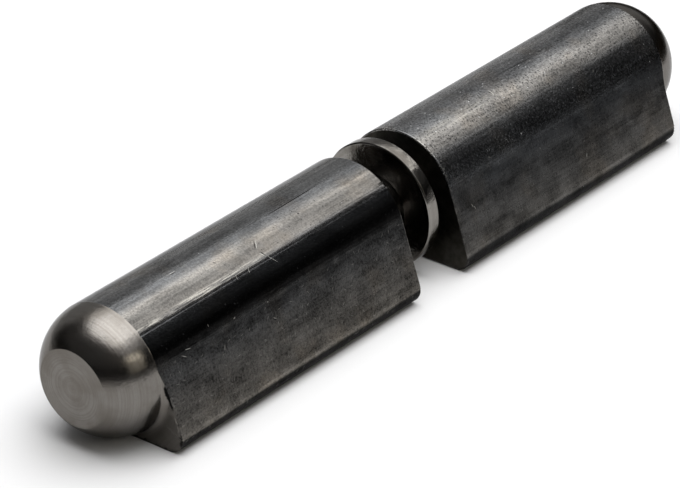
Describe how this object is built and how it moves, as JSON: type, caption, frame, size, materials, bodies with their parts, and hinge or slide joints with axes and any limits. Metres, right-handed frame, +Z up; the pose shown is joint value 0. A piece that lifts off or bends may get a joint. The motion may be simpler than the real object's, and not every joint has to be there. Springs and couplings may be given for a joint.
{
  "type": "weld-on barrel hinge",
  "caption": "Lift-off weld-on hinge: drop-section steel leaves with rounded noses that turn on a hidden loose pin, with a washer between them.",
  "frame": {"origin": "under the middle of the hinge's length and width, on the surface it lies on", "axes": "+X along the hinge axis from the lower leaf to the upper leaf, +Z up, tangs towards -Y"},
  "size_m": [0.1072, 0.0182, 0.016],
  "materials": {
    "drawn_steel": "dark cold-drawn bar with a satin turned nose",
    "pin_steel": "bright ground",
    "washer_steel": "bright turned edge, dark faces"
  },
  "bodies": {
    "lower_leaf": {"lower_leaf": "drawn_steel"},
    "pin": {"pin": "pin_steel"},
    "washer": {"washer": "washer_steel"},
    "upper_leaf": {"upper_leaf": "drawn_steel"}
  },
  "joints": [
    {"name": "pin_turn", "type": "hinge", "parent": "lower_leaf", "child": "pin", "pos_m": [0, 0.00113, 0.008], "axis": [-1, 0, 0], "continuous": true},
    {"name": "washer_slide", "type": "slide", "parent": "pin", "child": "washer", "axis": [1, 0, 0], "range_m": [-0.00455, 0.00265]},
    {"name": "leaf_lift", "type": "slide", "parent": "washer", "child": "upper_leaf", "axis": [1, 0, 0], "range_m": [-0.00265, 0.024]}
  ]
}
